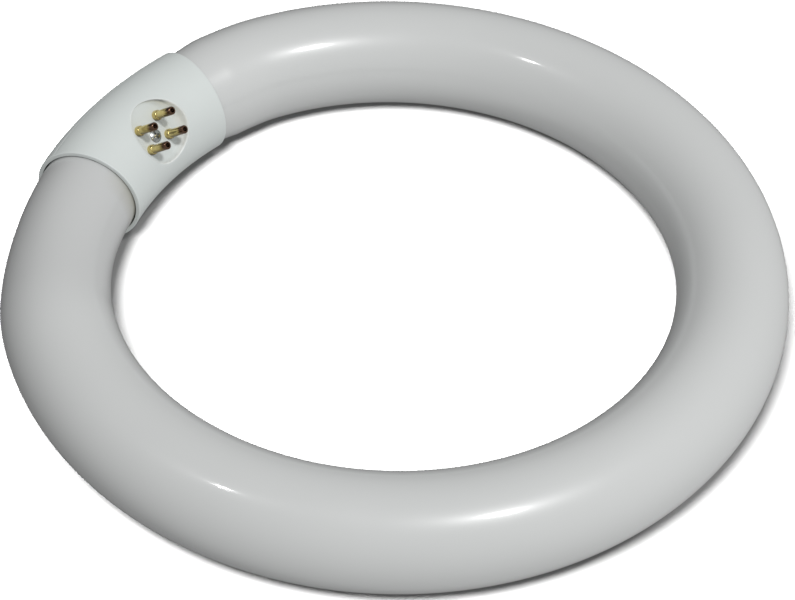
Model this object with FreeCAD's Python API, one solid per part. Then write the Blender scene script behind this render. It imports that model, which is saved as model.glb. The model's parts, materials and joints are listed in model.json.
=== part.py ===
import FreeCAD
import Part
import math
import os
from FreeCAD import Vector

# Circular fluorescent tube with a four-pin cap, lying flat. Millimetres.
# The origin is the middle of the ring, on the surface that the lamp lies on. +Z is up.
# Lengths along the bent tube start at the middle of the cap and grow towards the left end of the glass,
# on round the ring and back to the cap. The right end's lengths count backwards from there, as negatives.

# Ring of glass
RING_OUTER_D = 209.5      # across the outside of the ring
TUBE_D = 29.5             # outside of the glass tube
FLAT_ANGLE = 156.0        # middle of the ring's flatter stretch, in degrees from +X towards +Y
FLAT_IN = 2.25            # how far the ring is pressed in there
FLATTER_BY = 12.0         # how far beyond the ring's middle the centre of the flatter stretch's bend lies
TIGHTER_BY = 45.0         # how much smaller the bend radius is in the two shoulders beside that stretch

# Worked ends of the glass
NECK_STEP = 1.1           # the ends are drawn in by this much on the radius
LEFT_NECK_LEAD = 17.7     # bare neck between the cap's left mouth and the start of the swell
LEFT_SWELL = 38.0         # length over which the left neck swells to the full tube
RIGHT_SWELL_IN = 1.5      # how far inside the cap's right mouth the right neck starts to swell
RIGHT_SWELL_OUT = 3.0     # how far the right swell reaches out of that mouth
END_STRAIGHT = 6.5        # straight last stretch of each end
END_ROUND = 3.5           # rounding of the rim of each end
STEM_MOUTH_R = 7.5        # mouth of the hollow that the sealed stem leaves in each end
STEM_FLOOR_R = 6.2        # floor of that hollow
STEM_DEPTH = 4.0
EXHAUST_R = 1.5           # sealed-off exhaust tip inside the hollow
EXHAUST_LEN = 5.0

# Cap
CAP_ASIDE = 12.75         # length of tube from the middle of the cap on to the middle of the flatter stretch
CAP_GRIP = 1.4            # bent stretch of neck that the cap grips, between the straight end and the lead-in
CAP_WALL = 1.15
CAP_CLEAR = 0.3           # between the necks and the inside of the cap
MOUTH_FLARE = 0.2         # lead-in of each mouth, on the radius
MOUTH_LEAD = 3.0          # lead-in of each mouth, along the tube
MOUTH_EDGE = 0.3          # rounding of each mouth's outer edge
PIN_LEAN = 39.0           # the pins point inwards and this many degrees up from the ring's plane

# Recess that the pins stand in
RECESS_R = 9.0
RECESS_WALL = 1.2
RECESS_ASIDE = 1.0        # the recess and its pins lie this far off the cap's crown, away from the hole
RECESS_SINK = 0.53        # depth of the flat floor where the recess's wall is lowest
RECESS_FLOOR_WALL = 1.6
RECESS_EDGE = 0.4         # rounding of the rim
GLASS_CLEAR = 0.8         # between the recess and the ends of the glass

# Contact pins: hollow rivets on the standard four-pin rectangle
PIN_ALONG = 7.92
PIN_ACROSS = 6.35
PIN_D = 2.36
PIN_LENGTH = 7.6
PIN_BORE_D = 1.3
PIN_TIP_CHAMFER = 0.3
PIN_HOLE_CLEAR = 0.05
COLLAR_OVER = 0.3         # the collar stands out from the shank by this much
COLLAR_HEIGHT = 1.5
COLLAR_DOME = 0.8
FLANGE_OVER = 0.5         # the flared foot under the floor stands out by this much
FLANGE_THICK = 0.5

# Screw and post that hold the two halves of the cap together
SCREW_D = 2.0
SCREW_LENGTH = 9.0
SCREW_HEAD_D = 3.6
SCREW_HEAD_H = 1.3
SCREW_HEAD_DOME = 0.6
SCREW_SINK = 0.8          # the head lies in a round pocket of this depth in the floor
SCREW_POCKET_CLEAR = 0.15
SCREW_CLEAR = 0.05
SLOT_WIDTH = 0.6
SLOT_LENGTH = 2.2
SLOT_DEPTH = 0.7
POST_WALL = 1.5           # plastic around the screw
PILOT_SPARE = 1.0         # pilot hole beyond the end of the screw

# Lead wires from the stems to the pins
WIRE_D = 0.6
WIRE_BEND_R = 2.5
WIRE_BELOW_TIP = 1.5      # the wire ends this far inside the tip of its pin

# Spare length of cutting tools, so that they pass the faces that they open
OVERCUT = 1.0

TUBE_R = TUBE_D / 2
NECK_R = TUBE_R - NECK_STEP
CAP_INNER_R = NECK_R + CAP_CLEAR
CAP_OUTER_R = CAP_INNER_R + CAP_WALL
AXIS_Z = max(CAP_OUTER_R, TUBE_R)
RECESS_FLOOR = math.sqrt(CAP_OUTER_R ** 2 - (RECESS_R + RECESS_ASIDE) ** 2) - RECESS_SINK

# Bend of the tube's middle line: a wide arc in the flatter stretch, two tighter shoulders, then the ring
RING_R = RING_OUTER_D / 2 - TUBE_R
FLAT_BEND_R = RING_R - FLAT_IN + FLATTER_BY
SHOULDER_R = RING_R - TIGHTER_BY
RING_JOIN = math.acos(
    1 - (2 * FLAT_IN * (TIGHTER_BY + FLATTER_BY) - FLAT_IN ** 2) / (2 * TIGHTER_BY * FLATTER_BY)
)
FLAT_JOIN = math.atan2(TIGHTER_BY * math.sin(RING_JOIN), TIGHTER_BY * math.cos(RING_JOIN) + FLATTER_BY)
FLAT_ARC = FLAT_BEND_R * FLAT_JOIN
SHOULDER_ARC = SHOULDER_R * (RING_JOIN - FLAT_JOIN)
RING_START = FLAT_ARC + SHOULDER_ARC
WHOLE_RING = 2 * (RING_START + RING_R * (math.pi - RING_JOIN))
ROUND_AGAIN = [WHOLE_RING - RING_START, WHOLE_RING - FLAT_ARC]
ARC_JOINS = [CAP_ASIDE + reach for reach in [-RING_START, -FLAT_ARC, FLAT_ARC, RING_START] + ROUND_AGAIN]

UP = Vector(0, 0, 1)
FLAT_OUT = Vector(math.cos(math.radians(FLAT_ANGLE)), math.sin(math.radians(FLAT_ANGLE)), 0)
FLAT_ALONG = UP.cross(FLAT_OUT)


def from_flat(length):
    """A length from the cap's middle, as a length from the flatter stretch's middle the short way round."""
    length -= CAP_ASIDE
    return length - WHOLE_RING if length > WHOLE_RING / 2 else length


def arc_at(length):
    """Side of the flatter stretch, centre (out, along), radius, start length and start angle of an arc."""
    reach = from_flat(length)
    side = -1 if reach < 0 else 1
    if abs(reach) <= FLAT_ARC:
        return side, (-FLATTER_BY, 0.0), FLAT_BEND_R, 0.0, 0.0
    if abs(reach) <= RING_START:
        centre = (TIGHTER_BY * math.cos(RING_JOIN), TIGHTER_BY * math.sin(RING_JOIN))
        return side, centre, SHOULDER_R, FLAT_ARC, FLAT_JOIN
    return side, (0.0, 0.0), RING_R, RING_START, RING_JOIN


def middle_line(length):
    """Point and direction of the tube's middle line at a length from the middle of the cap."""
    side, centre, radius, start, start_angle = arc_at(length)
    angle = start_angle + (abs(from_flat(length)) - start) / radius
    out = centre[0] + radius * math.cos(angle)
    along = side * (centre[1] + radius * math.sin(angle))
    point = FLAT_OUT * out + FLAT_ALONG * along + UP * AXIS_Z
    direction = FLAT_OUT * (-side * math.sin(angle)) + FLAT_ALONG * math.cos(angle)
    return point, direction


# The cap's own frame: X along the tube, Z the way the pins point, origin on the tube's middle line
CAP_MIDDLE, ALONG = middle_line(0)
OUT = ALONG.cross(UP)
LEAN = math.radians(PIN_LEAN)
PIN_DIR = OUT * -math.cos(LEAN) + UP * math.sin(LEAN)
CAP_FRAME = FreeCAD.Placement(CAP_MIDDLE, FreeCAD.Rotation(ALONG, PIN_DIR.cross(ALONG), PIN_DIR, "XYZ"))

# Places along the tube, worked out from the recess outwards
STRAIGHT_START = RECESS_R + RECESS_WALL + GLASS_CLEAR + END_STRAIGHT
END_TILT = max(middle_line(side * STRAIGHT_START)[1].getAngle(ALONG) for side in (1, -1))
GLASS_END = RECESS_R + RECESS_WALL + GLASS_CLEAR + NECK_R * math.sin(END_TILT)
NECK_IN = GLASS_END + END_STRAIGHT
CAP_HALF = NECK_IN + CAP_GRIP + MOUTH_LEAD
PAST_CAP = CAP_OUTER_R + OVERCUT


def ring_section(length, radius):
    """Circle around the tube's middle line."""
    point, direction = middle_line(length)
    return Part.Wire(Part.makeCircle(radius, point, direction))


def pin_side_section(length, _):
    """Rectangle that holds the half of the tube's section that the pins point out of."""
    point, direction = middle_line(length)
    outwards = direction.cross(UP)
    pins_way = outwards * -math.cos(LEAN) + UP * math.sin(LEAN)
    sideways = pins_way.cross(direction)
    low, high = point - sideways * PAST_CAP, point + sideways * PAST_CAP
    rise = pins_way * PAST_CAP
    return Part.makePolygon([low, high, high + rise, low + rise, low])


def bent_bars(start, end, radius, section=ring_section):
    """Bars along the middle line from one length to a larger one, one for each arc on the way."""
    stops = [start] + [join for join in ARC_JOINS if start < join < end] + [end]
    bars = []
    for low, high in zip(stops, stops[1:]):
        side, centre, bend_r, _, _ = arc_at((low + high) / 2)
        pivot = FLAT_OUT * centre[0] + FLAT_ALONG * (side * centre[1])
        face = Part.Face(section(low, radius))
        bars.append(face.revolve(pivot, UP, math.degrees((high - low) / bend_r)))
    return bars


def joined(pieces):
    """One solid of pieces that meet face to face."""
    if len(pieces) == 1:
        return pieces[0]
    return pieces[0].fuse(pieces[1:]).removeSplitter()


def swell(neck_at, full_at):
    """Tapered stretch in which the neck widens to the full tube, smooth at both ends."""
    steps = 12
    wires = []
    for step in range(steps + 1):
        share = step / steps
        ease = share * share * (3 - 2 * share)
        wires.append(ring_section(neck_at + (full_at - neck_at) * share, NECK_R + NECK_STEP * ease))
    return Part.makeLoft(wires, True, False)


def turned(points, base, axis):
    """Solid turned about an axis from (distance along, radius) points; a middle of three makes an arc."""
    across = axis.cross(UP)
    if across.Length < 0.1:
        across = Vector(1, 0, 0)
    across.normalize()

    def place(pair):
        return base + axis * pair[0] + across * pair[1]

    edges = []
    for first, second in zip(points, points[1:] + points[:1]):
        if len(second) == 3:
            edges.append(Part.Arc(place(first), place(second[2]), place(second)).toShape())
        else:
            edges.append(Part.LineSegment(place(first), place(second)).toShape())
    return Part.Face(Part.Wire(edges)).revolve(base, axis, 360)


def round_corner(start_along, start_r, size_along, size_r):
    """End point and bulge point of a quarter-round from the rim of a turned profile towards its axis."""
    bulge = (start_along + size_along * math.sin(math.pi / 4), start_r - size_r * (1 - math.cos(math.pi / 4)))
    return (start_along + size_along, start_r - size_r, bulge)


def glass_end(side):
    """Straight sealed end: rounded rim, hollow of the stem and the sealed exhaust tip."""
    base, direction = middle_line(side * NECK_IN)
    floor = END_STRAIGHT - STEM_DEPTH
    tip_straight = floor + EXHAUST_LEN - EXHAUST_R
    profile = [
        (0, 0),
        (0, NECK_R),
        (END_STRAIGHT - END_ROUND, NECK_R),
        round_corner(END_STRAIGHT - END_ROUND, NECK_R, END_ROUND, END_ROUND),
        (END_STRAIGHT, STEM_MOUTH_R),
        (floor, STEM_FLOOR_R),
        (floor, EXHAUST_R),
        (tip_straight, EXHAUST_R),
        round_corner(tip_straight, EXHAUST_R, EXHAUST_R, EXHAUST_R),
    ]
    return turned(profile, base, direction * -side)


def upright_rod(radius, low, high, x=0.0, y=0.0):
    """Round rod in the cap's frame, along the way the pins point."""
    rod = Part.makeCylinder(radius, high - low, Vector(x, y, low))
    rod.Placement = CAP_FRAME.multiply(rod.Placement)
    return rod


def on_cap(shape):
    """Put a shape that was made in the cap's frame in its place on the lamp."""
    shape.Placement = CAP_FRAME.multiply(shape.Placement)
    return shape


# Glass: two sealed ends, two necks that swell to the full tube, and the ring between them.
# The ends stop short of the recess, with room for the tilt that the bend gives their rims.
LEFT_NECK_END = CAP_HALF + LEFT_NECK_LEAD
LEFT_FULL = LEFT_NECK_END + LEFT_SWELL
RIGHT_NECK_END = CAP_HALF - RIGHT_SWELL_IN
RIGHT_FULL = CAP_HALF + RIGHT_SWELL_OUT

glass_tube = joined(
    [glass_end(1)]
    + bent_bars(NECK_IN, LEFT_NECK_END, NECK_R)
    + [swell(LEFT_NECK_END, LEFT_FULL)]
    + bent_bars(LEFT_FULL, WHOLE_RING - RIGHT_FULL, TUBE_R)
    + [swell(-RIGHT_NECK_END, -RIGHT_FULL)]
    + bent_bars(-RIGHT_NECK_END, -NECK_IN, NECK_R)
    + [glass_end(-1)]
)

# Cap: a bent sleeve with flared mouths, parted along its middle line, square to the pins, into two halves
cap_body = joined(bent_bars(-CAP_HALF, CAP_HALF, CAP_OUTER_R))
mouth_middles = [middle_line(side * CAP_HALF)[0] for side in (1, -1)]
mouth_rims = []
for edge in cap_body.Edges:
    from_mouth = min(edge.CenterOfMass.distanceToPoint(middle) for middle in mouth_middles)
    if edge.isClosed() and from_mouth < MOUTH_EDGE:
        mouth_rims.append(edge)
cap_body = cap_body.makeFillet(MOUTH_EDGE, mouth_rims)
cap_hollow = joined(bent_bars(-CAP_HALF - OVERCUT, CAP_HALF + OVERCUT, CAP_INNER_R))
flare_slope = MOUTH_FLARE / MOUTH_LEAD
for side in (1, -1):
    flare = [
        ring_section(side * (CAP_HALF + reach), CAP_INNER_R + flare_slope * (MOUTH_LEAD + reach))
        for reach in (-MOUTH_LEAD, -MOUTH_LEAD / 2, 0, OVERCUT)
    ]
    cap_hollow = cap_hollow.fuse(Part.makeLoft(flare, True, False))
sleeve = cap_body.cut(cap_hollow)
pin_side = joined(bent_bars(-CAP_HALF - OVERCUT, CAP_HALF + OVERCUT, PAST_CAP, pin_side_section))

PIN_R = PIN_D / 2
FLOOR_UNDER = RECESS_FLOOR - RECESS_FLOOR_WALL
pin_places = [(x * PIN_ALONG / 2, y * PIN_ACROSS / 2 - RECESS_ASIDE) for x in (-1, 1) for y in (-1, 1)]

recess_cup = upright_rod(RECESS_R + RECESS_WALL, FLOOR_UNDER, PAST_CAP, 0, -RECESS_ASIDE).common(cap_body)
recess = upright_rod(RECESS_R, RECESS_FLOOR, PAST_CAP, 0, -RECESS_ASIDE)
cap_pin_half = sleeve.common(pin_side).fuse(recess_cup).cut(recess).removeSplitter()
to_cap = CAP_FRAME.inverse()
recess_rim = []
for edge in cap_pin_half.Edges:
    spot = to_cap.multVec(edge.valueAt((edge.FirstParameter + edge.LastParameter) / 2))
    on_wall = abs(math.hypot(spot.x, spot.y + RECESS_ASIDE) - RECESS_R) < RECESS_EDGE / 10
    if on_wall and spot.z > RECESS_FLOOR and not isinstance(edge.Curve, (Part.Line, Part.Circle)):
        recess_rim.append(edge)
cap_pin_half = cap_pin_half.makeFillet(RECESS_EDGE, recess_rim)
for x, y in pin_places:
    hole = upright_rod(PIN_R + PIN_HOLE_CLEAR, FLOOR_UNDER - OVERCUT, RECESS_FLOOR + OVERCUT, x, y)
    cap_pin_half = cap_pin_half.cut(hole)
screw_way = upright_rod(SCREW_D / 2 + SCREW_CLEAR, FLOOR_UNDER - OVERCUT, RECESS_FLOOR + OVERCUT)
SCREW_SEAT = RECESS_FLOOR - SCREW_SINK
screw_pocket = upright_rod(SCREW_HEAD_D / 2 + SCREW_POCKET_CLEAR, SCREW_SEAT, RECESS_FLOOR + OVERCUT)
cap_pin_half = cap_pin_half.cut(screw_way).cut(screw_pocket)

POST_R = SCREW_D / 2 + POST_WALL
SCREW_END = SCREW_SEAT - SCREW_LENGTH
post = upright_rod(POST_R, -PAST_CAP, FLOOR_UNDER).common(cap_body)
cap_back_half = sleeve.cut(pin_side).fuse(post).removeSplitter()
pilot = upright_rod(SCREW_D / 2 + SCREW_CLEAR, SCREW_END - PILOT_SPARE, FLOOR_UNDER + OVERCUT)
cap_back_half = cap_back_half.cut(pilot)

# Screw: domed head with a cross slot, in its pocket in the floor of the recess
head_top = SCREW_SEAT + SCREW_HEAD_H
head_rim = head_top - SCREW_HEAD_DOME
cap_screw = turned(
    [
        (SCREW_END, 0),
        (SCREW_END, SCREW_D / 2),
        (SCREW_SEAT, SCREW_D / 2),
        (SCREW_SEAT, SCREW_HEAD_D / 2),
        (head_rim, SCREW_HEAD_D / 2),
        (head_top, 0, (head_rim + SCREW_HEAD_DOME * 0.75, SCREW_HEAD_D / 4)),
    ],
    Vector(0, 0, 0),
    UP,
)
for turn in (0, 90):
    slot = Part.makeBox(SLOT_LENGTH, SLOT_WIDTH, SLOT_DEPTH + OVERCUT)
    slot.translate(Vector(-SLOT_LENGTH / 2, -SLOT_WIDTH / 2, head_top - SLOT_DEPTH))
    slot.rotate(Vector(0, 0, 0), UP, turn)
    cap_screw = cap_screw.cut(slot)
cap_screw = on_cap(cap_screw)

# Contact pins: flared foot under the floor, domed collar on it, hollow shank
bore_r = PIN_BORE_D / 2
pin_foot = FLOOR_UNDER - FLANGE_THICK
pin_tip = RECESS_FLOOR + PIN_LENGTH
collar_r = PIN_R + COLLAR_OVER
collar_top = RECESS_FLOOR + COLLAR_HEIGHT
pin_profile = [
    (pin_foot, bore_r),
    (pin_foot, PIN_R + FLANGE_OVER),
    (FLOOR_UNDER, PIN_R + FLANGE_OVER),
    (FLOOR_UNDER, PIN_R),
    (RECESS_FLOOR, PIN_R),
    (RECESS_FLOOR, collar_r),
    (collar_top - COLLAR_DOME, collar_r),
    round_corner(collar_top - COLLAR_DOME, collar_r, COLLAR_DOME, COLLAR_OVER),
    (pin_tip - PIN_TIP_CHAMFER, PIN_R),
    (pin_tip, PIN_R - PIN_TIP_CHAMFER),
    (pin_tip, bore_r),
]
contact_pins = []
for x, y in pin_places:
    pin = turned(pin_profile, Vector(x, y, 0), UP)
    contact_pins.append(on_cap(pin))

# Lead wires: out of the stem along the tube, then up into the pin
wire_r = WIRE_D / 2
wire_top = pin_tip - WIRE_BELOW_TIP
lead_wires = []
for x, y in pin_places:
    side = 1 if x > 0 else -1
    inside_glass = Vector(side * NECK_IN, y, 0)
    bend_start = Vector(x + side * WIRE_BEND_R, y, 0)
    bend_middle = Vector(
        x + side * WIRE_BEND_R * (1 - math.sin(math.pi / 4)), y, WIRE_BEND_R * (1 - math.cos(math.pi / 4))
    )
    bend_end = Vector(x, y, WIRE_BEND_R)
    route = Part.Wire([
        Part.LineSegment(inside_glass, bend_start).toShape(),
        Part.Arc(bend_start, bend_middle, bend_end).toShape(),
        Part.LineSegment(bend_end, Vector(x, y, wire_top)).toShape(),
    ])
    section = Part.Wire(Part.makeCircle(wire_r, inside_glass, Vector(-side, 0, 0)))
    wire = on_cap(route.makePipeShell([section], True, True))
    lead_wires.append(wire.cut(glass_tube))

nodes = {
    "glass_tube": glass_tube,
    "cap_pin_half": cap_pin_half,
    "cap_back_half": cap_back_half,
    "cap_screw": cap_screw,
}
for number, shape in enumerate(contact_pins, start=1):
    nodes["contact_pin_%d" % number] = shape
for number, shape in enumerate(lead_wires, start=1):
    nodes["lead_wire_%d" % number] = shape

os.makedirs("parts", exist_ok=True)
for name, shape in nodes.items():
    solid = shape.Solids[0]
    print(name, "solids", len(shape.Solids), "valid", shape.isValid(), "volume %.1f" % shape.Volume)
    solid.exportStep("parts/%s.step" % name)
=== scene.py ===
import json
import math

import bmesh
import bpy
import numpy as np
from mathutils import Matrix, Vector


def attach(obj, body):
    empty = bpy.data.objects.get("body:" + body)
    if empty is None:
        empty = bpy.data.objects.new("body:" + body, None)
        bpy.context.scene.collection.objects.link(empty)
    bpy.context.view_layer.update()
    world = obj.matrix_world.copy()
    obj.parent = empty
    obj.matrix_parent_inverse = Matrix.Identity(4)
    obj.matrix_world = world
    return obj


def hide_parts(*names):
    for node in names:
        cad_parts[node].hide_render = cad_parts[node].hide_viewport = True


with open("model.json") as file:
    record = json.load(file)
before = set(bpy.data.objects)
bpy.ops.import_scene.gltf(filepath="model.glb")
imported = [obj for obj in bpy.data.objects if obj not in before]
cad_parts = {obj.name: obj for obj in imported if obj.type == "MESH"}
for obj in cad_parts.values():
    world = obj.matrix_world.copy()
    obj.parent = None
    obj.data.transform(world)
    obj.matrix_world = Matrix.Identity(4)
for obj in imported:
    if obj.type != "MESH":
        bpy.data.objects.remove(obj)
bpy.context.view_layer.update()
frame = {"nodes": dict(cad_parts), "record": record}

# Glass tube: white-coated glass, bent into a ring round a drum while hot and sealed at both ends.
# Its ends are drawn in a little, the left one over a longer stretch, and the cap covers them.
# The ring is a little flatter at the left end, between two tighter shoulders.
MM = 0.001
TUBE_R = 14.75 * MM
NECK_R = 13.65 * MM
AXIS_HEIGHT = 15.1 * MM
RING_R = 90.0 * MM
FLAT_ANGLE = math.radians(156)
FLAT_IN = 2.25 * MM
FLATTER_BY = 12.0 * MM
TIGHTER_BY = 45.0 * MM
CAP_ASIDE = 12.75 * MM
CAP_HALF = 24.28 * MM
NECK_IN = 19.88 * MM
LEFT_NECK_END = CAP_HALF + 17.7 * MM
LEFT_SWELL = 38.0 * MM
RIGHT_NECK_END = CAP_HALF - 1.5 * MM
RIGHT_SWELL = 10.0 * MM
END_STRAIGHT = 6.5 * MM
END_ROUND = 3.5 * MM
STEM_MOUTH_R = 7.5 * MM
STEM_FLOOR_R = 6.2 * MM
STEM_DEPTH = 4.0 * MM
EXHAUST_R = 1.5 * MM
EXHAUST_LENGTH = 5.0 * MM
PATH_STEP = 1.4 * MM
GLASS_AROUND = 96
GLASS_WHITE = (0.6, 0.612, 0.608, 1)
GLASS_CLOUD = (0.57, 0.582, 0.578, 1)
GLASS_LEFT_GREY = (0.53, 0.54, 0.538, 1)
GLASS_ROUGHNESS = (0.28, 0.38)
GLASS_IOR = 1.5
COAT_WEIGHT = 0.7
COAT_ROUGHNESS = 0.09
CLOUD_SCALE = 28.0
SMEAR_SCALE = 90.0
WAVE_SCALE = 45.0
WAVE_STRENGTH = 0.02
WAVE_HEIGHT = 0.2 * MM
# The glass is coloured greyer towards the left end, fading out over some degrees round the ring.
LEFT_GREY_MIDDLE = math.radians(174)
LEFT_GREY_HALF = math.radians(15)
LEFT_GREY_FADE = math.radians(31)
# Painted warm shade on the glass beside the cap's left mouth, on the hole's side.
MOUTH_PAINTED_SHADE = (0.385, 0.378, 0.325, 1)
MOUTH_SHADE_ANGLE = math.radians(163.5)
MOUTH_SHADE_END = math.radians(5)
MOUTH_SHADE_OUTER = 86.0 * MM
MOUTH_SHADE_INNER = 77.0 * MM

UP = Vector((0, 0, 1))
FLAT_OUT = Vector((math.cos(FLAT_ANGLE), math.sin(FLAT_ANGLE), 0))
FLAT_ALONG = UP.cross(FLAT_OUT)
FLAT_BEND_R = RING_R - FLAT_IN + FLATTER_BY
SHOULDER_R = RING_R - TIGHTER_BY
flat_share = (2 * FLAT_IN * (TIGHTER_BY + FLATTER_BY) - FLAT_IN ** 2) / (2 * TIGHTER_BY * FLATTER_BY)
RING_JOIN = math.acos(1 - flat_share)
SHOULDER_OUT = TIGHTER_BY * math.cos(RING_JOIN)
SHOULDER_ALONG = TIGHTER_BY * math.sin(RING_JOIN)
FLAT_JOIN = math.atan2(SHOULDER_ALONG, SHOULDER_OUT + FLATTER_BY)
FLAT_ARC = FLAT_BEND_R * FLAT_JOIN
RING_START = FLAT_ARC + SHOULDER_R * (RING_JOIN - FLAT_JOIN)
WHOLE_RING = 2 * (RING_START + RING_R * (math.pi - RING_JOIN))


def middle_line(length):
    """Point and direction of the tube's middle line, at a length from the middle of the cap."""
    length -= CAP_ASIDE
    if length > WHOLE_RING / 2:
        length -= WHOLE_RING
    side = math.copysign(1, length)
    reach = abs(length)
    if reach <= FLAT_ARC:
        centre, radius, angle = (-FLATTER_BY, 0), FLAT_BEND_R, reach / FLAT_BEND_R
    elif reach <= RING_START:
        centre, radius = (SHOULDER_OUT, SHOULDER_ALONG), SHOULDER_R
        angle = FLAT_JOIN + (reach - FLAT_ARC) / SHOULDER_R
    else:
        centre, radius, angle = (0, 0), RING_R, RING_JOIN + (reach - RING_START) / RING_R
    out = centre[0] + radius * math.cos(angle)
    along = side * (centre[1] + radius * math.sin(angle))
    point = FLAT_OUT * out + FLAT_ALONG * along + UP * AXIS_HEIGHT
    return point, FLAT_ALONG * math.cos(angle) - FLAT_OUT * (side * math.sin(angle))


def new_object(name, data):
    """Object at the origin, linked into the scene."""
    made = bpy.data.objects.new(name, data)
    bpy.context.scene.collection.objects.link(made)
    return made


def add_node(tree, kind, inputs=None, **settings):
    """Node with its settings and inputs. An input is a value, or a socket to link from."""
    node = tree.nodes.new(kind)
    for setting, value in settings.items():
        setattr(node, setting, value)
    for socket, value in (inputs or {}).items():
        if isinstance(value, bpy.types.NodeSocket):
            tree.links.new(value, node.inputs[socket])
        else:
            node.inputs[socket].default_value = value
    return node


def new_material(name):
    """Material with one Principled shader, its node tree and the Object coordinates."""
    material = bpy.data.materials.new(name)
    material.use_nodes = True
    tree = material.node_tree
    shader = tree.nodes["Principled BSDF"]
    place = tree.nodes.new("ShaderNodeTexCoord").outputs["Object"]
    return material, tree, shader, place


def blended(tree, share, first, second):
    """Colour between two others, each a value or a socket. The Mix node's colours are its sockets 6 and 7."""
    return add_node(tree, "ShaderNodeMix", {0: share, 6: first, 7: second}, data_type="RGBA").outputs[2]


def noise(tree, place, scale, detail):
    """Share between 0 and 1 that varies softly with the place."""
    inputs = {"Vector": place, "Scale": scale, "Detail": detail}
    return add_node(tree, "ShaderNodeTexNoise", inputs).outputs["Fac"]


def ranged(tree, value, start, end, low=0.0, high=1.0, smooth=False):
    """Number that goes from low to high while a value goes from start to end, and stays there beyond."""
    inputs = {"Value": value, "From Min": start, "From Max": end, "To Min": low, "To Max": high}
    kind = "SMOOTHSTEP" if smooth else "LINEAR"
    return add_node(tree, "ShaderNodeMapRange", inputs, interpolation_type=kind).outputs[0]


def product(tree, first, second):
    """Product of two numbers, each a value or a socket."""
    return add_node(tree, "ShaderNodeMath", {0: first, 1: second}, operation="MULTIPLY").outputs[0]


def dot(tree, first, second):
    """Dot product of two vectors, each a value or a socket."""
    node = add_node(tree, "ShaderNodeVectorMath", {0: first, 1: second}, operation="DOT_PRODUCT")
    return node.outputs["Value"]


def vector_length(tree, vector):
    """Length of a vector."""
    return add_node(tree, "ShaderNodeVectorMath", {0: vector}, operation="LENGTH").outputs["Value"]


def roughen(tree, shader, share, least, most):
    """Roughness that goes from least to most as a share goes from 0 to 1."""
    tree.links.new(ranged(tree, share, 0.0, 1.0, least, most), shader.inputs["Roughness"])


def add_bump(tree, shader, share, strength, distance):
    """Fine unevenness of the surface, as high as a share of the distance."""
    bump = add_node(tree, "ShaderNodeBump", {"Height": share, "Strength": strength, "Distance": distance})
    tree.links.new(bump.outputs[0], shader.inputs["Normal"])


def new_tree(name, sizes):
    """Geometry Nodes tree with named inputs, from {name: socket type}."""
    tree = bpy.data.node_groups.new(name, "GeometryNodeTree")
    tree.interface.new_socket("Geometry", in_out="INPUT", socket_type="NodeSocketGeometry")
    for size, kind in sizes.items():
        tree.interface.new_socket(size, in_out="INPUT", socket_type=kind)
    tree.interface.new_socket("Geometry", in_out="OUTPUT", socket_type="NodeSocketGeometry")
    return tree, tree.nodes.new("NodeGroupInput").outputs


def finish_tree(tree, geometry, material):
    """End of a tree: Realize Instances, Set Material and the output."""
    real = add_node(tree, "GeometryNodeRealizeInstances", {"Geometry": geometry})
    painted = add_node(tree, "GeometryNodeSetMaterial", {"Geometry": real.outputs[0], "Material": material})
    add_node(tree, "NodeGroupOutput", {0: painted.outputs[0]})


def grown_mesh(source, tree, values):
    """Plain mesh that a tree makes of an object, with the tree's inputs set. The object is removed."""
    modifier = source.modifiers.new("tree", "NODES")
    modifier.node_group = tree
    sockets = {item.name: item.identifier for item in tree.interface.items_tree if item.in_out == "INPUT"}
    for name, value in values.items():
        modifier[sockets[name]] = value
    depsgraph = bpy.context.evaluated_depsgraph_get()
    mesh = bpy.data.meshes.new_from_object(source.evaluated_get(depsgraph))
    source.modifiers.remove(modifier)
    bpy.data.objects.remove(source)
    return mesh


def angle_from(tree, place, angle):
    """Angle round the ring between a place and a fixed angle, without its sign."""
    turned = add_node(tree, "ShaderNodeVectorRotate", {"Vector": place, "Angle": -angle})
    split = add_node(tree, "ShaderNodeSeparateXYZ", {0: turned.outputs[0]})
    around = add_node(
        tree, "ShaderNodeMath", {0: split.outputs["Y"], 1: split.outputs["X"]}, operation="ARCTAN2"
    )
    return add_node(tree, "ShaderNodeMath", {0: around.outputs[0]}, operation="ABSOLUTE").outputs[0]


def white_glass():
    """Glass with its white powder inside, greyer towards the left end, with painted warm shade beside the
    cap's left mouth.
    """
    material, tree, shader, place = new_material("white_coated_glass")
    white = blended(tree, noise(tree, place, CLOUD_SCALE, detail=3.0), GLASS_WHITE, GLASS_CLOUD)
    # Greyer towards the left end.
    left_grey = ranged(tree, angle_from(tree, place, LEFT_GREY_MIDDLE), LEFT_GREY_FADE, LEFT_GREY_HALF, smooth=True)
    greyed = blended(tree, left_grey, white, GLASS_LEFT_GREY)
    # Painted warm shade: the glass by the left mouth is coloured darker and warmer on the hole's side.
    by_mouth = ranged(tree, angle_from(tree, place, MOUTH_SHADE_ANGLE), MOUTH_SHADE_END, 0.0)
    hole_side = ranged(tree, vector_length(tree, place), MOUTH_SHADE_OUTER, MOUTH_SHADE_INNER)
    mouth_shade = product(tree, by_mouth, hole_side)
    tree.links.new(blended(tree, mouth_shade, greyed, MOUTH_PAINTED_SHADE), shader.inputs["Base Color"])
    roughen(tree, shader, noise(tree, place, SMEAR_SCALE, detail=4.0), *GLASS_ROUGHNESS)
    add_bump(tree, shader, noise(tree, place, WAVE_SCALE, detail=1.0), WAVE_STRENGTH, WAVE_HEIGHT)
    shader.inputs["IOR"].default_value = GLASS_IOR
    shader.inputs["Coat Weight"].default_value = COAT_WEIGHT
    shader.inputs["Coat Roughness"].default_value = COAT_ROUGHNESS
    return material


glass_material = white_glass()

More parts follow.
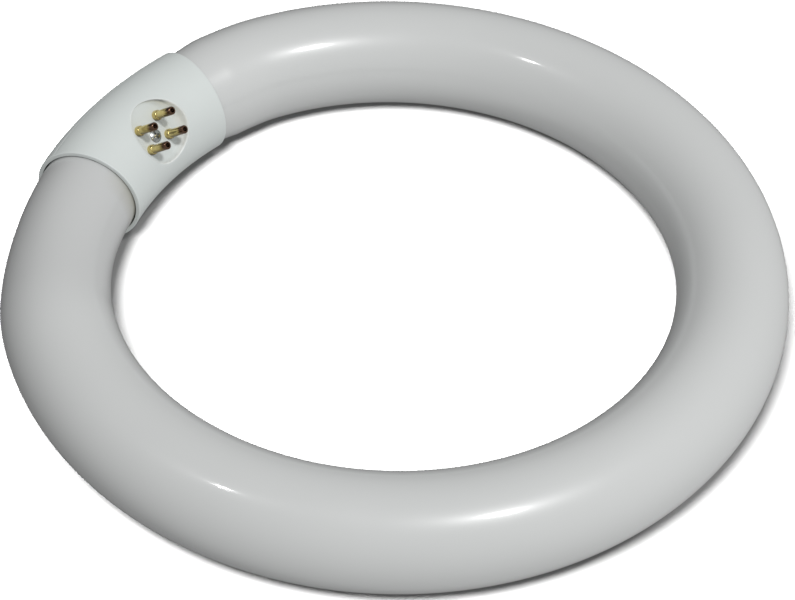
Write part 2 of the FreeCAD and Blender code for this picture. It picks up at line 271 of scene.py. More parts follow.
glass_sizes = {
    "Tube radius": TUBE_R,
    "Neck radius": NECK_R,
    "Left neck": LEFT_NECK_END - NECK_IN,
    "Left swell end": LEFT_NECK_END + LEFT_SWELL - NECK_IN,
    "Right swell start": WHOLE_RING - RIGHT_NECK_END - RIGHT_SWELL - NECK_IN,
    "Right neck": WHOLE_RING - RIGHT_NECK_END - NECK_IN,
}
glass_tree, sizes = new_tree("glass_tube_along_its_path", dict.fromkeys(glass_sizes, "NodeSocketFloat"))
run = glass_tree.nodes.new("GeometryNodeSplineParameter").outputs["Length"]
left_swell = ranged(
    glass_tree, run, sizes["Left neck"], sizes["Left swell end"],
    low=sizes["Neck radius"], high=sizes["Tube radius"], smooth=True,
)
right_swell = ranged(
    glass_tree, run, sizes["Right swell start"], sizes["Right neck"],
    low=sizes["Tube radius"], high=sizes["Neck radius"],
)
tube_radius = add_node(glass_tree, "ShaderNodeMath", {0: left_swell, 1: right_swell}, operation="MINIMUM")
section = add_node(
    glass_tree, "GeometryNodeCurvePrimitiveCircle", {"Resolution": GLASS_AROUND, "Radius": 1.0}
)
skin = add_node(glass_tree, "GeometryNodeCurveToMesh", {
    "Curve": sizes["Geometry"], "Profile Curve": section.outputs["Curve"], "Scale": tube_radius.outputs[0],
})
shaded = add_node(glass_tree, "GeometryNodeSetShadeSmooth", {"Geometry": skin.outputs[0]})
finish_tree(glass_tree, shaded.outputs[0], glass_material)

path = bpy.data.curves.new("glass_path", "CURVE")
path.dimensions = "3D"
spline = path.splines.new("POLY")
stops = np.linspace(NECK_IN, WHOLE_RING - NECK_IN, round((WHOLE_RING - 2 * NECK_IN) / PATH_STEP))
spline.points.add(len(stops) - 1)
for point, stop in zip(spline.points, stops):
    point.co = (*middle_line(stop)[0], 1)
glass_mesh = grown_mesh(new_object("glass_path", path), glass_tree, glass_sizes)


def quarter_round(along, radius, size, steps=8):
    """Points of a quarter-round that turns a rim in towards the axis, after its first point."""
    angles = [math.pi / 2 * step / steps for step in range(1, steps + 1)]
    return [(along + size * math.sin(angle), radius - size * (1 - math.cos(angle))) for angle in angles]


def bridge(form, first, second):
    """Band of quads between two rings of as many vertices."""
    for index in range(len(first)):
        after = (index + 1) % len(first)
        form.faces.new((first[index], first[after], second[after], second[index]))


def fan(form, ring, middle):
    """Triangles from a ring to a new vertex at its middle."""
    pole = form.verts.new(middle)
    for index in range(len(ring)):
        form.faces.new((ring[index], ring[(index + 1) % len(ring)], pole))


def close_end(form, rim, base, inwards):
    """Carry an open rim of the tube on to the sealed end: round edge, hollow of the stem, exhaust tip."""
    floor = END_STRAIGHT - STEM_DEPTH
    tip = floor + EXHAUST_LENGTH - EXHAUST_R
    profile = [(END_STRAIGHT - END_ROUND, NECK_R)]
    profile += quarter_round(END_STRAIGHT - END_ROUND, NECK_R, END_ROUND)
    profile += [(END_STRAIGHT, STEM_MOUTH_R), (floor, STEM_FLOOR_R), (floor, EXHAUST_R), (tip, EXHAUST_R)]
    profile += quarter_round(tip, EXHAUST_R, EXHAUST_R)[:-1]
    spokes = [(vertex.co - base).normalized() for vertex in rim]
    for along, radius in profile:
        ring = [form.verts.new(base + inwards * along + spoke * radius) for spoke in spokes]
        bridge(form, rim, ring)
        rim = ring
    fan(form, rim, base + inwards * (tip + EXHAUST_R))


def save_form(form, mesh, sharp_above=35):
    """Write a closed form to a mesh: faces outwards, smooth, with edges above some degrees kept sharp."""
    bmesh.ops.recalc_face_normals(form, faces=form.faces[:])
    form.to_mesh(mesh)
    form.free()
    mesh.shade_smooth()
    mesh.set_sharp_from_angle(angle=math.radians(sharp_above))
    return mesh


glass_form = bmesh.new()
glass_form.from_mesh(glass_mesh)
glass_form.verts.ensure_lookup_table()
rims = {1: glass_form.verts[:GLASS_AROUND], -1: glass_form.verts[-GLASS_AROUND:]}
for side, rim in rims.items():
    base, direction = middle_line(side * NECK_IN)
    close_end(glass_form, rim, base, direction * -side)
glass = new_object("glass_ring", save_form(glass_form, glass_mesh))
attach(glass, "root")
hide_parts("glass_tube")

# Lead wires: four thin wires from the stems in the glass ends, bent up into the hollow pins.
# Nickel-plated iron, dull and a little uneven from drawing. Hidden in the cap.
WIRE_GREY = (0.42, 0.40, 0.37, 1)
WIRE_DARK = (0.30, 0.28, 0.26, 1)
WIRE_ROUGHNESS = (0.3, 0.5)
DRAWING_SCALE = 2500.0


def spotted_metal(name, scale, detail, colours, roughness):
    """Metal whose colour and roughness vary together in small spots."""
    material, tree, shader, place = new_material(name)
    spots = noise(tree, place, scale, detail)
    tree.links.new(blended(tree, spots, *colours), shader.inputs["Base Color"])
    roughen(tree, shader, spots, *roughness)
    shader.inputs["Metallic"].default_value = 1.0
    return material


wire_material = spotted_metal(
    "plated_wire", DRAWING_SCALE, detail=2.0, colours=(WIRE_GREY, WIRE_DARK), roughness=WIRE_ROUGHNESS
)
for name, node in frame["nodes"].items():
    if name.startswith("lead_wire"):
        for material_slot in node.material_slots:
            material_slot.material = wire_material

# Back half of the cap: moulded plastic half sleeve, bent as the ring is, with the post that takes the screw.
# It meets the pin half along the middle of the sleeve, and the screw holds the two together.
CAP_INNER_R = 13.95 * MM
CAP_OUTER_R = 15.1 * MM
MOUTH_EDGE = 0.3 * MM
MOUTH_FLARE = 0.05 * MM
MOUTH_LEAD = 3.0 * MM
PARTING_EDGE = 0.12 * MM
PARTING_SHARE = PARTING_EDGE / (CAP_OUTER_R * math.pi / 2)
POST_R = 2.5 * MM
PILOT_R = 1.05 * MM
RECESS_R = 9.0 * MM
RECESS_ASIDE = 1.0 * MM
RECESS_SINK = 0.53 * MM
RECESS_FLOOR_WALL = 1.6 * MM
SCREW_SINK = 0.8 * MM
SCREW_LENGTH = 9.0 * MM
PILOT_SPARE = 1.0 * MM
RECESS_FLOOR = math.sqrt(CAP_OUTER_R ** 2 - (RECESS_R + RECESS_ASIDE) ** 2) - RECESS_SINK
FLOOR_UNDER = RECESS_FLOOR - RECESS_FLOOR_WALL
SCREW_SEAT = RECESS_FLOOR - SCREW_SINK
MOUTH_SPOKES = 48
PARTING_SPOKES = 48
SKIN_RINGS = 24
SEED_R = 1.0 * MM
MOST_SINE = 0.999
SETTLE_ROUNDS = 30
CAP_WHITE = (0.652, 0.69, 0.678, 1)
CAP_SHADE = (0.617, 0.655, 0.643, 1)
CAP_ROUGHNESS = (0.36, 0.5)
FLOW_SCALE = 60.0
GRAIN_SCALE = 2200.0
GRAIN_STRENGTH = 0.1
GRAIN_HEIGHT = 0.05 * MM
RECESS_EDGE = 0.8 * MM
# Painted light: the recess's wall is coloured paler, as if lit, from just over its floor upwards.
RECESS_PAINTED_LIGHT = (0.93, 0.95, 0.925, 1)
PAINTED_LIGHT_FROM = RECESS_FLOOR + 0.2 * MM
PAINTED_LIGHT_TO = RECESS_FLOOR + 1.6 * MM
# Painted shadow: a thin dark line along the upper corner of the recess's wall, on one side only.
RIM_PAINTED_SHADOW = (0.28, 0.30, 0.32, 1)
RIM_SHADOW_WIDTH = 0.2 * MM
RIM_SHADOW_WAY_ALONG = -0.56
RIM_SHADOW_WAY_ASIDE = -0.83
RIM_SHADOW_FADE_FROM = 0.88
RIM_SHADOW_FADE_TO = 0.97

pin_mounts = [mount for mount in frame["record"]["mounts"] if mount["kind"] == "pin"]
PIN_WAY = Vector(pin_mounts[0]["axis"])
LEAN = math.asin(PIN_WAY.z)
cap_middle, ALONG = middle_line(0)
OUT = ALONG.cross(UP)
cap_frame = np.array([ALONG, PIN_WAY.cross(ALONG), PIN_WAY])
bend_centre = np.array(cap_middle - OUT * FLAT_BEND_R)
RECESS_MIDDLE = cap_middle - Vector(cap_frame[1]) * RECESS_ASIDE
RIM_SHADOW_WAY = ALONG * RIM_SHADOW_WAY_ALONG + Vector(cap_frame[1]) * RIM_SHADOW_WAY_ASIDE


def on_sleeve(run, turn, radius):
    """Points of the bent sleeve in the cap's frame: run along it, turn from the pins' way, radius."""
    run, turn, radius = np.broadcast_arrays(run, turn, radius)
    bend = (run / FLAT_BEND_R)[:, None]
    outwards = np.cos(bend) * np.array(OUT) + np.sin(bend) * np.array(ALONG)
    forwards = np.cos(bend) * np.array(ALONG) - np.sin(bend) * np.array(OUT)
    pins_way = math.sin(LEAN) * np.array(UP) - math.cos(LEAN) * outwards
    sideways = np.cross(pins_way, forwards)
    spoke = np.cos(turn)[:, None] * pins_way + np.sin(turn)[:, None] * sideways
    points = bend_centre + outwards * FLAT_BEND_R + spoke * radius[:, None]
    return (points - np.array(cap_middle)) @ cap_frame.T


def above(x, y, radius, back):
    """Run and turn of the sleeve's points above x, y in the cap's frame, or below them at the back."""
    run, sine = np.array(x, float), np.clip(np.array(y) / radius, -MOST_SINE, MOST_SINE)
    for _ in range(SETTLE_ROUNDS):
        turn = math.pi - np.arcsin(sine) if back else np.arcsin(sine)
        point = on_sleeve(run, turn, radius)
        run = run + (x - point[:, 0])
        sine = np.clip(sine + (y - point[:, 1]) / radius, -MOST_SINE, MOST_SINE)
    return run, turn


def spoke_angles():
    """Angles of the spokes from the middle of a half to its four edges, with one at each corner."""
    half_width = CAP_OUTER_R * math.pi / 2
    corner = math.atan2(half_width, CAP_HALF - MOUTH_EDGE)
    stops = [-corner, corner, math.pi - corner, math.pi + corner, 2 * math.pi - corner]
    counts = [MOUTH_SPOKES, PARTING_SPOKES, MOUTH_SPOKES, PARTING_SPOKES]
    return np.concatenate([
        np.linspace(low, high, count, endpoint=False) for low, high, count in zip(stops, stops[1:], counts)
    ])


SPOKES = spoke_angles()


def half_edge():
    """Where the spokes meet the four edges of a half: share of its length and turn from its middle."""
    half_width = math.pi / 2
    slope_run = np.cos(SPOKES) / (CAP_HALF - MOUTH_EDGE)
    slope_turn = np.sin(SPOKES) / (CAP_OUTER_R * half_width)
    reach = 1 / np.maximum(np.abs(slope_run), np.abs(slope_turn))
    return slope_run * reach, slope_turn * reach * half_width


EDGE_SHARE, EDGE_TURN = half_edge()


def skin_rings(run, turn, radius, end_run, rings, back, reach=1.0):
    """Rings on the sleeve that spread from a round start to the four edges of a half, or nearly to them."""
    middle = math.pi if back else 0.0
    way = -1 if back else 1
    made = []
    for step in range(1, rings + 1):
        share = step / rings
        ring_run = run + (EDGE_SHARE * end_run - run) * share
        ring_turn = turn + (middle + way * EDGE_TURN * reach - turn) * share
        made.append(on_sleeve(ring_run, ring_turn, radius))
    return made


def edge_rings(back):
    """Rings over the edges of a half, from outer skin to inner: round edges, end face, lead-in."""
    middle = math.pi if back else 0.0
    way = -1 if back else 1
    made = []
    for run, radius in quarter_round(CAP_HALF - MOUTH_EDGE, CAP_OUTER_R, MOUTH_EDGE, steps=6):
        reach = 1 - PARTING_SHARE * (CAP_HALF - run) / MOUTH_EDGE
        made.append(on_sleeve(EDGE_SHARE * run, middle + way * EDGE_TURN * reach, radius))
    for run, radius in ((CAP_HALF, CAP_INNER_R + MOUTH_FLARE), (CAP_HALF - MOUTH_LEAD, CAP_INNER_R)):
        made.append(on_sleeve(EDGE_SHARE * run, middle + way * EDGE_TURN, radius))
    return made


def round_ring(radius, height, aside=0.0):
    """Ring about the pins' way, or a line aside of it. Its height may differ from spoke to spoke."""
    height = np.broadcast_to(height, SPOKES.shape)
    return np.column_stack([radius * np.cos(SPOKES), radius * np.sin(SPOKES) - aside, height])


def new_ring(form, points):
    """Vertices of a ring of points that are given in the cap's frame."""
    placed = np.asarray(points) @ cap_frame + np.array(cap_middle)
    return [form.verts.new(point) for point in placed]


def bridge_all(form, rings):
    """Bands between rings of points in the cap's frame. Returns the first and the last ring's vertices."""
    made = [new_ring(form, ring) for ring in rings]
    for first, second in zip(made, made[1:]):
        bridge(form, first, second)
    return made[0], made[-1]


def close_ring(form, ring):
    """Fan over a ring, from the mean of its vertices."""
    fan(form, ring, sum((vertex.co for vertex in ring), Vector()) / len(ring))


def moulded_plastic():
    """Cool white moulded plastic with fine grain and faint flow shades, painted light on the recess's wall
    and a painted shadow line at its top.
    """
    material, tree, shader, place = new_material("moulded_white_plastic")
    plastic = blended(tree, noise(tree, place, FLOW_SCALE, detail=2.0), CAP_WHITE, CAP_SHADE)
    from_recess = add_node(
        tree, "ShaderNodeVectorMath", {0: place, 1: RECESS_MIDDLE}, operation="SUBTRACT"
    ).outputs[0]
    aside = add_node(tree, "ShaderNodeVectorMath", {0: from_recess, 1: PIN_WAY}, operation="CROSS_PRODUCT")
    radius = vector_length(tree, aside.outputs[0])
    # Painted light: paler colour higher up the recess's wall.
    high = ranged(tree, dot(tree, from_recess, PIN_WAY), PAINTED_LIGHT_FROM, PAINTED_LIGHT_TO)
    within = ranged(tree, radius, RECESS_R + RECESS_EDGE / 2, RECESS_R)
    wall = product(tree, high, within)
    pale = blended(tree, wall, plastic, RECESS_PAINTED_LIGHT)
    # Painted shadow: a thin dark line at the top of the wall, only towards one side of the recess.
    towards = dot(tree, from_recess, RIM_SHADOW_WAY)
    cosine = add_node(tree, "ShaderNodeMath", {0: towards, 1: radius}, operation="DIVIDE")
    sector = ranged(tree, cosine.outputs[0], RIM_SHADOW_FADE_FROM, RIM_SHADOW_FADE_TO)
    corner = ranged(tree, radius, RECESS_R - RIM_SHADOW_WIDTH, RECESS_R)
    rim_shadow = product(tree, product(tree, corner, wall), sector)
    tree.links.new(blended(tree, rim_shadow, pale, RIM_PAINTED_SHADOW), shader.inputs["Base Color"])
    grain = noise(tree, place, GRAIN_SCALE, detail=2.0)
    roughen(tree, shader, grain, *CAP_ROUGHNESS)
    add_bump(tree, shader, grain, GRAIN_STRENGTH, GRAIN_HEIGHT)
    return material


cap_material = moulded_plastic()
back_form = bmesh.new()
seed_run, seed_turn = above(SEED_R * np.cos(SPOKES), SEED_R * np.sin(SPOKES), CAP_OUTER_R, back=True)
post_run, post_turn = above(POST_R * np.cos(SPOKES), POST_R * np.sin(SPOKES), CAP_INNER_R, back=True)
outer_rings = [on_sleeve(seed_run, seed_turn, CAP_OUTER_R)]
outer_rings += skin_rings(
    seed_run, seed_turn, CAP_OUTER_R, CAP_HALF - MOUTH_EDGE, SKIN_RINGS, back=True, reach=1 - PARTING_SHARE
)
inner_rings = [on_sleeve(post_run, post_turn, CAP_INNER_R)]
inner_rings += skin_rings(post_run, post_turn, CAP_INNER_R, CAP_HALF - MOUTH_LEAD, SKIN_RINGS, back=True)[:-1]
post_rings = [round_ring(POST_R, FLOOR_UNDER), round_ring(PILOT_R, FLOOR_UNDER)]
post_rings += [round_ring(PILOT_R, SCREW_SEAT - SCREW_LENGTH - PILOT_SPARE)]
outside, inside = bridge_all(back_form, outer_rings + edge_rings(back=True) + inner_rings[::-1] + post_rings)
close_ring(back_form, outside)
close_ring(back_form, inside)
cap_back = new_object("cap_back", save_form(back_form, bpy.data.meshes.new("cap_back")))
cap_back.data.materials.append(cap_material)
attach(cap_back, "root")
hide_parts("cap_back_half")

# Pin half of the cap: the same moulding on the side that faces the lampholder, with a recess for the pins.
# The recess is a cup with a flat floor; the floor has four holes for the pins and a pocket for the screw.
RECESS_WALL = 1.2 * MM
CUP_R = RECESS_R + RECESS_WALL
LEAST_WALL = 0.05 * MM
WALL_STEP = 0.01 * MM
WALL_ROUNDS = 40
LEAST_FOOT = 0.2 * MM
MOST_FOOT = 2.6 * MM
FOOT_SHARE = 0.75
PIN_HOLE_R = 1.23 * MM
SCREW_HOLE_R = 1.05 * MM
SCREW_POCKET_R = 1.95 * MM
HOLE_AROUND = 32


def eased(first, corner, last, steps=6):
    """Points of a small rounding from first to last, tangent to the lines to the corner between them."""
    made = []
    for step in range(steps + 1):
        share = step / steps
        made.append(first * (1 - share) ** 2 + corner * 2 * share * (1 - share) + last * share ** 2)
    return made


def pin_places():
    """Places of the pins in the cap's frame, from the part's mounts."""
    middles = [np.array(mount["pos_m"]) - np.array(cap_middle) for mount in pin_mounts]
    return [tuple((cap_frame @ middle)[:2]) for middle in middles]


def hole_ring(place, radius, height):
    """Points of a ring of a hole in the floor."""
    angles = np.linspace(0, 2 * math.pi, HOLE_AROUND, endpoint=False)
    x, y = place[0] + radius * np.cos(angles), place[1] + radius * np.sin(angles)
    return np.column_stack([x, y, np.full(HOLE_AROUND, height)])


def floor_with_holes(form, rim, height, holes):
    """Flat floor inside a rim, open at the holes. Returns the rings round the holes."""
    rings = [new_ring(form, hole_ring(place, radius, height)) for place, radius in holes]
    edges = []
    for ring in [rim] + rings:
        for index in range(len(ring)):
            pair = (ring[index], ring[(index + 1) % len(ring)])
            edges.append(form.edges.get(pair) or form.edges.new(pair))
    bmesh.ops.triangle_fill(form, edges=edges, use_beauty=True, normal=PIN_WAY)
    return rings


def cup_ring(radius, height):
    """Ring about the middle of the recess."""
    return round_ring(radius, height, aside=RECESS_ASIDE)


def surface_ring(radius, sleeve_r):
    """Ring of the sleeve's points above a circle about the recess's middle, with their runs and turns."""
    x, y = radius * np.cos(SPOKES), radius * np.sin(SPOKES) - RECESS_ASIDE
    run, turn = above(x, y, sleeve_r, back=False)
    return run, turn, on_sleeve(run, turn, sleeve_r)


pin_form = bmesh.new()
rim_run, rim_turn, rim_outer = surface_ring(RECESS_R + RECESS_EDGE, CAP_OUTER_R)
wall_top = surface_ring(RECESS_R, CAP_OUTER_R)[2][:, 2]
foot = np.clip((wall_top - RECESS_FLOOR) * FOOT_SHARE, LEAST_FOOT, MOST_FOOT)
floor_rings = eased(
    cup_ring(RECESS_R - foot, RECESS_FLOOR),
    cup_ring(RECESS_R, RECESS_FLOOR),
    cup_ring(RECESS_R, RECESS_FLOOR + foot),
)
rim_low = np.maximum(wall_top - RECESS_EDGE, RECESS_FLOOR + foot)
rim_rings = eased(cup_ring(RECESS_R, rim_low), cup_ring(RECESS_R, wall_top), rim_outer)
outer_rings = skin_rings(
    rim_run, rim_turn, CAP_OUTER_R, CAP_HALF - MOUTH_EDGE, SKIN_RINGS, back=False, reach=1 - PARTING_SHARE
)
cup_radius = np.full(SPOKES.shape, CUP_R)
for _ in range(WALL_ROUNDS):
    cup_run, cup_turn, cup_top = surface_ring(cup_radius, CAP_INNER_R)
    too_low = cup_top[:, 2] < FLOOR_UNDER + LEAST_WALL
    cup_radius = np.where(too_low, cup_radius - WALL_STEP, cup_radius)
inner_rings = [cup_ring(cup_radius, FLOOR_UNDER), cup_top]
inner_rings += skin_rings(cup_run, cup_turn, CAP_INNER_R, CAP_HALF - MOUTH_LEAD, SKIN_RINGS, back=False)[:-1]
floor_rim, under_rim = bridge_all(
    pin_form, floor_rings + rim_rings + outer_rings + edge_rings(back=False) + inner_rings[::-1]
)
pin_holes = [(place, PIN_HOLE_R) for place in pin_places()]
screw_place = (0.0, 0.0)
tops = floor_with_holes(pin_form, floor_rim, RECESS_FLOOR, pin_holes + [(screw_place, SCREW_POCKET_R)])
bottoms = floor_with_holes(pin_form, under_rim, FLOOR_UNDER, pin_holes + [(screw_place, SCREW_HOLE_R)])
for top, bottom in zip(tops[:-1], bottoms[:-1]):
    bridge(pin_form, top, bottom)
pocket_rings = [tops[-1]]
for radius in (SCREW_POCKET_R, SCREW_HOLE_R):
    pocket_rings.append(new_ring(pin_form, hole_ring(screw_place, radius, SCREW_SEAT)))
pocket_rings.append(bottoms[-1])
for upper, lower in zip(pocket_rings, pocket_rings[1:]):
    bridge(pin_form, upper, lower)
cap_front = new_object("cap_front", save_form(pin_form, bpy.data.meshes.new("cap_front")))
cap_front.data.materials.append(cap_material)
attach(cap_front, "root")
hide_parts("cap_pin_half")

# Contact pins: four hollow brass rivets on the standard rectangle, with a domed collar on the recess's floor.
# Each is drawn from strip, set through its hole and flared under the floor; the tips are darker.
PIN_R = 1.18 * MM
PIN_BORE_R = 0.65 * MM
PIN_LENGTH = 7.6 * MM
PIN_TIP_ROUND = 0.3 * MM
COLLAR_OVER = 0.3 * MM
COLLAR_HEIGHT = 1.5 * MM
COLLAR_DOME = 0.8 * MM
FLANGE_OVER = 0.5 * MM
FLANGE_THICK = 0.5 * MM
PIN_AROUND = 40
DOME_STEPS = 8
BRASS = (0.50, 0.38, 0.12, 1)
BRASS_PALE = (0.82, 0.70, 0.34, 1)
# Painted shade: brass that faces down is coloured dark.
BRASS_PAINTED_SHADE = (0.12, 0.085, 0.035, 1)
BRASS_TIP_DARK = (0.12, 0.068, 0.045, 1)
BRASS_ROUGHNESS = (0.08, 0.22)
STAIN_SCALE = 900.0
TIP_DARK_FROM = 2.8 * MM
TIP_DARK_TO = 0.8 * MM
TIP_DARK_UNEVEN = 0.8 * MM
SHADE_FACING_FROM = 0.35
SHADE_FACING_TO = -0.6


def stained_and_shaded_brass():
    """Brass with uneven stains, painted shade where it faces down, and darker towards the tip."""
    material, tree, shader, place = new_material("brass_pin")
    stain = noise(tree, place, STAIN_SCALE, detail=3.0)
    uneven = ranged(tree, stain, 0.0, 1.0, -TIP_DARK_UNEVEN, TIP_DARK_UNEVEN)
    height = add_node(tree, "ShaderNodeMath", {0: dot(tree, place, PIN_WAY), 1: uneven})
    tip = PIN_WAY.dot(cap_middle) + RECESS_FLOOR + PIN_LENGTH
    # Darker towards the tip, with an uneven start.
    tip_dark = ranged(tree, height.outputs[0], tip - TIP_DARK_FROM, tip - TIP_DARK_TO, smooth=True)
    # Painted shade: the brass is coloured darker the more its surface faces down.
    facing = tree.nodes.new("ShaderNodeNewGeometry").outputs["Normal"]
    underside_shade = ranged(tree, dot(tree, facing, UP), SHADE_FACING_FROM, SHADE_FACING_TO, smooth=True)
    bright = blended(tree, stain, BRASS_PALE, BRASS)
    shaded_brass = blended(tree, underside_shade, bright, BRASS_PAINTED_SHADE)
    tree.links.new(blended(tree, tip_dark, shaded_brass, BRASS_TIP_DARK), shader.inputs["Base Color"])
    roughen(tree, shader, stain, *BRASS_ROUGHNESS)
    shader.inputs["Metallic"].default_value = 1.0
    return material


def pin_profile():
    """Closed outline of the pin's wall: (height over the recess's floor, radius)."""
    foot = -RECESS_FLOOR_WALL - FLANGE_THICK
    collar_r = PIN_R + COLLAR_OVER
    outline = [(foot, PIN_BORE_R), (foot, PIN_R + FLANGE_OVER), (-RECESS_FLOOR_WALL, PIN_R + FLANGE_OVER)]
    outline += [(-RECESS_FLOOR_WALL, PIN_R), (0, PIN_R), (0, collar_r)]
    outline += [(COLLAR_HEIGHT - COLLAR_DOME, collar_r)]
    for step in range(1, DOME_STEPS + 1):
        angle = math.pi / 2 * step / DOME_STEPS
        dome = COLLAR_OVER * (1 - math.cos(angle))
        outline.append((COLLAR_HEIGHT - COLLAR_DOME * (1 - math.sin(angle)), collar_r - dome))
    outline += [(PIN_LENGTH - PIN_TIP_ROUND, PIN_R)]
    outline += quarter_round(PIN_LENGTH - PIN_TIP_ROUND, PIN_R, PIN_TIP_ROUND, steps=5)
    return outline + [(PIN_LENGTH, PIN_BORE_R)]


one_pin_form = bmesh.new()
pin_rings = []
pin_angles = [2 * math.pi * step / PIN_AROUND for step in range(PIN_AROUND)]
for height, radius in pin_profile():
    round_pin = [(radius * math.cos(angle), radius * math.sin(angle), height) for angle in pin_angles]
    pin_rings.append([one_pin_form.verts.new(point) for point in round_pin])
for first, second in zip(pin_rings, pin_rings[1:] + pin_rings[:1]):
    bridge(one_pin_form, first, second)
one_pin = new_object("one_pin", save_form(one_pin_form, bpy.data.meshes.new("one_pin")))
along_places = [x for x, y in pin_places()]
across_places = [y for x, y in pin_places()]
pin_sizes = {
    "Along": max(along_places) - min(along_places),
    "Across": max(across_places) - min(across_places),
}
pin_tree, sizes = new_tree("pins_on_their_rectangle", dict.fromkeys(pin_sizes, "NodeSocketFloat"))
corners = add_node(pin_tree, "GeometryNodeMeshGrid", {
    "Size X": sizes["Along"], "Size Y": sizes["Across"], "Vertices X": 2, "Vertices Y": 2,
})
stood = add_node(pin_tree, "GeometryNodeInstanceOnPoints", {
    "Points": corners.outputs["Mesh"], "Instance": sizes["Geometry"],
})
finish_tree(pin_tree, stood.outputs[0], stained_and_shaded_brass())
pins_mesh = grown_mesh(one_pin, pin_tree, pin_sizes)
cap_matrix = Matrix(cap_frame.T.tolist()).to_4x4()
pins_aside = (max(across_places) + min(across_places)) / 2
cap_matrix.translation = cap_middle + PIN_WAY * RECESS_FLOOR + Vector(cap_frame[1]) * pins_aside
pins_mesh.transform(cap_matrix)
pins = new_object("contact_pins", pins_mesh)
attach(pins, "root")
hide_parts("contact_pin_1", "contact_pin_2", "contact_pin_3", "contact_pin_4")

# Screw: bright plated steel with a domed head and a cross slot, between the pins.
# Its head lies in a pocket of the recess's floor; it goes into the back half's post and holds the halves.
STEEL_BRIGHT = (0.60, 0.62, 0.61, 1)
STEEL_SHADE = (0.20, 0.21, 0.205, 1)
STEEL_ROUGHNESS = (0.15, 0.35)
PLATING_SCALE = 1600.0
screw_material = spotted_metal(
    "plated_screw", PLATING_SCALE, detail=3.0, colours=(STEEL_BRIGHT, STEEL_SHADE), roughness=STEEL_ROUGHNESS
)
for material_slot in frame["nodes"]["cap_screw"].material_slots:
    material_slot.material = screw_material

# Floor: a plain pale surface that the lamp lies on, darker under its own light so that the shadow shows.
# It takes the lamp's shadow and doesn't light the lamp: the room below and a low light in the ring do that.
FLOOR_HALF = 20.0
FLOOR_PALE = (0.80, 0.80, 0.80, 1)
FLOOR_LIT = (0.22, 0.22, 0.22, 1)
FLOOR_LIT_REACH = 0.3
FLOOR_PALE_REACH = 1.5
FLOOR_ROUGHNESS = 0.9
floor_mesh = bpy.data.meshes.new("floor")
floor_corners = [(x * FLOOR_HALF, y * FLOOR_HALF, 0) for x, y in ((-1, -1), (1, -1), (1, 1), (-1, 1))]
floor_mesh.from_pydata(floor_corners, [], [(0, 1, 2, 3)])
floor = new_object("floor", floor_mesh)
floor_material, floor_tree, floor_shader, floor_place = new_material("pale_floor")
floor_reach = vector_length(floor_tree, floor_place)
floor_pale = ranged(floor_tree, floor_reach, FLOOR_LIT_REACH, FLOOR_PALE_REACH)
floor_colour = blended(floor_tree, floor_pale, FLOOR_LIT, FLOOR_PALE)
floor_tree.links.new(floor_colour, floor_shader.inputs["Base Color"])
floor_shader.inputs["Roughness"].default_value = FLOOR_ROUGHNESS
floor_mesh.materials.append(floor_material)
floor.visible_diffuse = False
floor.visible_glossy = False
floor.visible_shadow = False

# Light: a soft pale room, brighter in front and on the right, dim low down at the back left for dark limbs.
# A key light stands high at the front right, a weak one on the left, and a low one in the ring faces up.
# The floor has a light of its own, so that it stays pale without brightening the lamp.
ROOM_WHITE = (1, 1, 1, 1)
ROOM_LEVEL = 0.499
ROOM_LEAN = (0.158, -0.097, 0.035)
DIM_WAY = (-0.6, 0.6, -0.53)
DIM_FROM = 0.3
DIM_TO = 0.75
DIM_LEVEL = 0.4
LIGHT_REACH = 4.0
KEY_WAY = (-46, 62.5)
KEY_SIZE = 0.42
KEY_POWER = 70.0
FILL_WAY = (-160, 64)
FILL_SIZE = 0.18
FILL_POWER = 8.7
FLOOR_LIGHT_PLACE = Vector((-0.14, -0.53, 0.92))
FLOOR_LIGHT_SIZE = 0.36
FLOOR_LIGHT_POWER = 84.0
THROWN_BACK_PLACE = Vector((0.02, 0.015, -0.002))
THROWN_BACK_SIZE = 0.075
THROWN_BACK_POWER = 0.0085


def way_to(azimuth, elevation):
    """Direction from the lamp to a light, from degrees round from +X and degrees up."""
    azimuth, elevation = math.radians(azimuth), math.radians(elevation)
    flat = math.cos(elevation)
    return Vector((math.cos(azimuth) * flat, math.sin(azimuth) * flat, math.sin(elevation)))


def new_light(name, place, size, power):
    """Round soft light that looks at the middle of the ring."""
    data = bpy.data.lights.new(name, "AREA")
    data.shape = "DISK"
    data.size = size
    data.energy = power
    made = new_object(name, data)
    turn = place.to_track_quat("Z", "Y").to_matrix().to_4x4()
    made.matrix_world = Matrix.Translation(place) @ turn
    return made


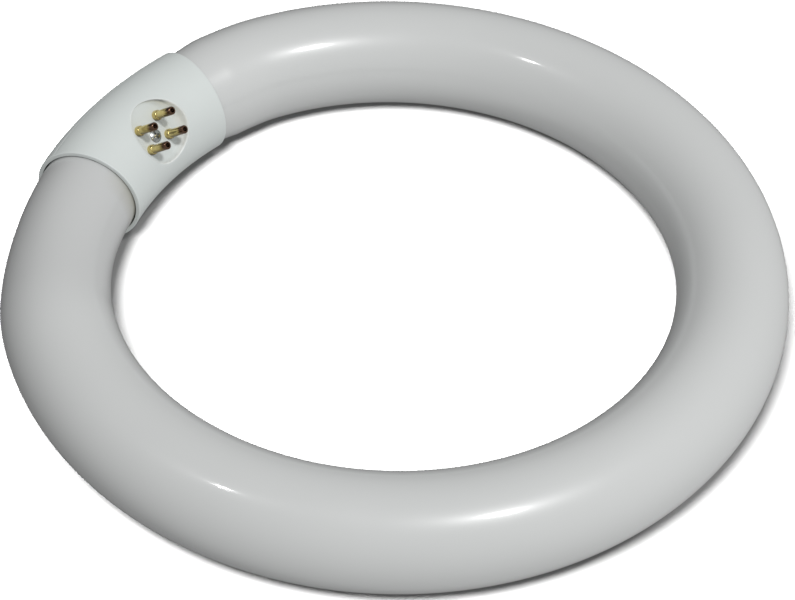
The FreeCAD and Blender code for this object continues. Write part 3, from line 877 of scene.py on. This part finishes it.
room = bpy.data.worlds.new("room")
room.use_nodes = True
room_tree = room.node_tree
room_way = room_tree.nodes.new("ShaderNodeTexCoord").outputs["Generated"]
room_lean = dot(room_tree, room_way, ROOM_LEAN)
room_light = add_node(room_tree, "ShaderNodeMath", {0: room_lean, 1: ROOM_LEVEL})
room_depth = dot(room_tree, room_way, DIM_WAY)
room_dim = ranged(room_tree, room_depth, DIM_FROM, DIM_TO, low=1.0, high=DIM_LEVEL, smooth=True)
room_level = product(room_tree, room_light.outputs[0], room_dim)
room_back = room_tree.nodes["Background"]
room_back.inputs["Color"].default_value = ROOM_WHITE
room_tree.links.new(room_level, room_back.inputs["Strength"])
bpy.context.scene.world = room
new_light("key", way_to(*KEY_WAY) * LIGHT_REACH, KEY_SIZE, KEY_POWER)
new_light("fill", way_to(*FILL_WAY) * LIGHT_REACH, FILL_SIZE, FILL_POWER)
thrown_back = new_light("thrown_back", THROWN_BACK_PLACE, THROWN_BACK_SIZE, THROWN_BACK_POWER)
thrown_back.matrix_world = Matrix.Translation(THROWN_BACK_PLACE) @ Matrix.Rotation(math.pi, 4, "X")
thrown_back.visible_glossy = False
floor_light = new_light("floor_light", FLOOR_LIGHT_PLACE, FLOOR_LIGHT_SIZE, FLOOR_LIGHT_POWER)
lit_by_it = bpy.data.collections.new("lit_by_floor_light")
lit_by_it.objects.link(floor)
floor_light.light_linking.receiver_collection = lit_by_it

# Camera: the photo's view, from 46 degrees above and about 0.6 m off, through a long lens.
# Its place, target and roll were fitted to the outlines in the photo.
CAMERA_PLACE = Vector((0.001176, -0.443100, 0.455125))
CAMERA_TARGET = Vector((0.001176, -0.011954, 0.0151))
CAMERA_ROLL = math.radians(1.554)
LENS_MM = 106.0
SENSOR_MM = 36.0
camera_data = bpy.data.cameras.new("camera")
camera_data.lens = LENS_MM
camera_data.sensor_width = SENSOR_MM
camera_data.sensor_fit = "HORIZONTAL"
camera = new_object("camera", camera_data)
look = (CAMERA_PLACE - CAMERA_TARGET).to_track_quat("Z", "Y").to_matrix().to_4x4()
camera.matrix_world = Matrix.Translation(CAMERA_PLACE) @ look @ Matrix.Rotation(CAMERA_ROLL, 4, "Z")
bpy.context.scene.camera = camera
bpy.context.scene.view_settings.view_transform = "Standard"
